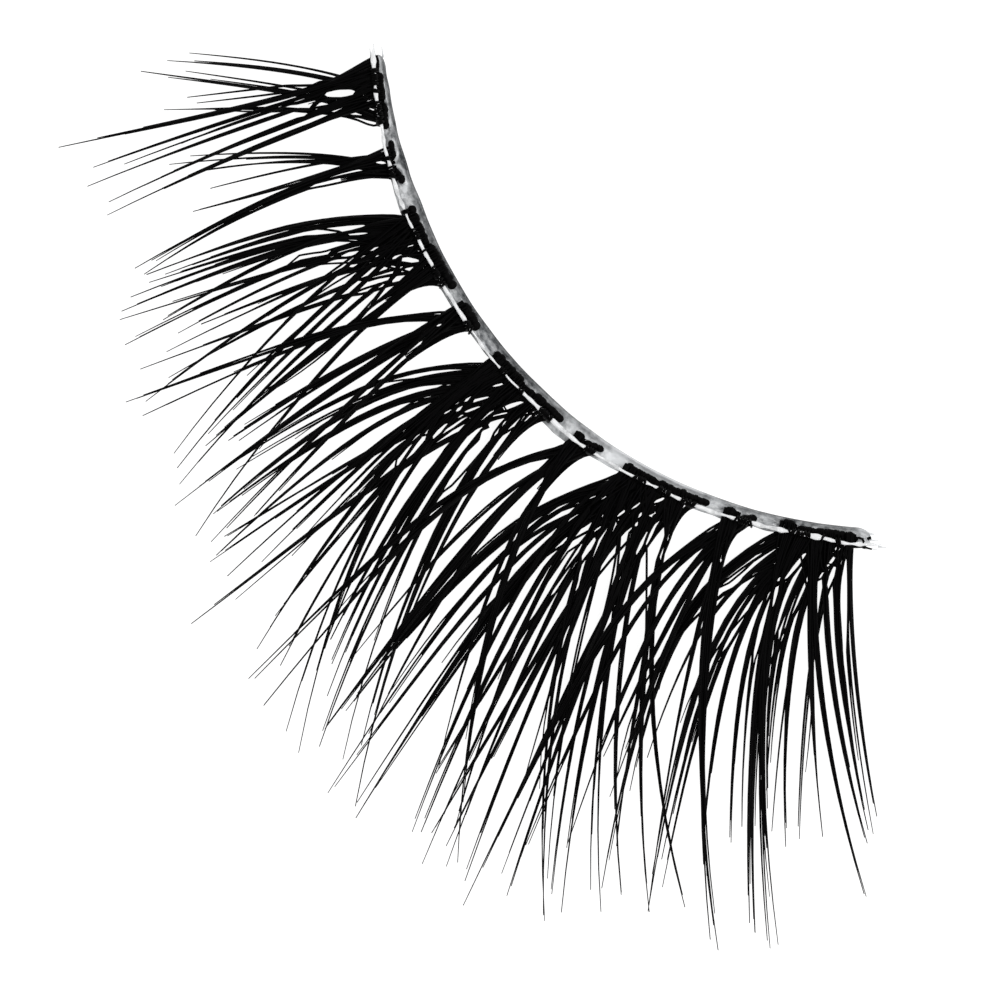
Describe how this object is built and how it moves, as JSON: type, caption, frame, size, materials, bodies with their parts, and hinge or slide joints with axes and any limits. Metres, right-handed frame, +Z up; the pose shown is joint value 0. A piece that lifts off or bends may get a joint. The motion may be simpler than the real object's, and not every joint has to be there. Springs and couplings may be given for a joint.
{
  "type": "false eyelash strip",
  "caption": "Curved strip of false eyelashes: a clear glue film and front thread carry alternating long and short fans of curled black lash fibre.",
  "frame": {"origin": "under the middle of the strip's bounding box, on the surface that it lies on", "axes": "+X from the short-lash end to the long-lash end, -Y the way that the lashes point, +Z up: the lash tips curl up"},
  "size_m": [0.046, 0.0238, 0.0082],
  "materials": {
    "clear_glue": "glossy, uneven dried glue, slightly grey",
    "clear_thread": "glossy clear monofilament",
    "lash_fibre": "satin black synthetic fibre"
  },
  "bodies": {
    "root": {"glue_film": "clear_glue", "front_thread": "clear_thread", "lash_fan_1": "lash_fibre", "lash_fan_2": "lash_fibre", "lash_fan_3": "lash_fibre", "lash_fan_4": "lash_fibre", "lash_fan_5": "lash_fibre", "lash_fan_6": "lash_fibre", "lash_fan_7": "lash_fibre", "lash_fan_8": "lash_fibre", "lash_fan_9": "lash_fibre"}
  },
  "joints": []
}
